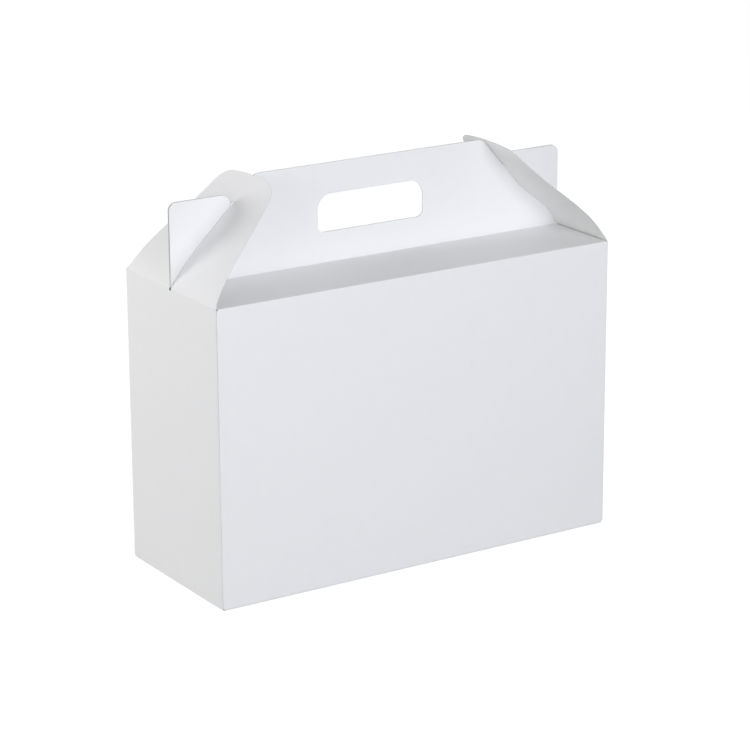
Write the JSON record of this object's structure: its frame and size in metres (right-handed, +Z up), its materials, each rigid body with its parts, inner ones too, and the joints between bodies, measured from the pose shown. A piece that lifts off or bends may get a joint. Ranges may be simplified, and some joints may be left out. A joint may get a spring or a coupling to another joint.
{
  "type": "cardboard lunch box",
  "caption": "Tall rectangular takeaway carton of white board with a flat roof, a standing carry handle with a hand hole, and slit end flaps that lock over the handle's ears.",
  "frame": {"origin": "middle of the bottom face, on the surface that the box stands on", "axes": "+X along the long front panel to the right, +Y from the front panel to the back panel, +Z up"},
  "size_m": [0.3, 0.118, 0.265],
  "materials": {
    "white_board": "bleached paperboard, clay coated outside, satin matt",
    "flap_board": "bleached paperboard, clay coated outside, satin matt"
  },
  "bodies": {
    "carton_body": {"carton": "white_board"},
    "left_flap": {"left_lock_flap": "flap_board"},
    "right_flap": {"right_lock_flap": "flap_board"}
  },
  "joints": [
    {"name": "left_flap_crease", "type": "hinge", "parent": "carton_body", "child": "left_flap", "pos_m": [-0.14975, 0, 0.19875], "axis": [0, -1, 0], "range_deg": [0, 150]},
    {"name": "right_flap_crease", "type": "hinge", "parent": "carton_body", "child": "right_flap", "pos_m": [0.14975, 0, 0.19875], "axis": [0, 1, 0], "range_deg": [0, 150]}
  ]
}
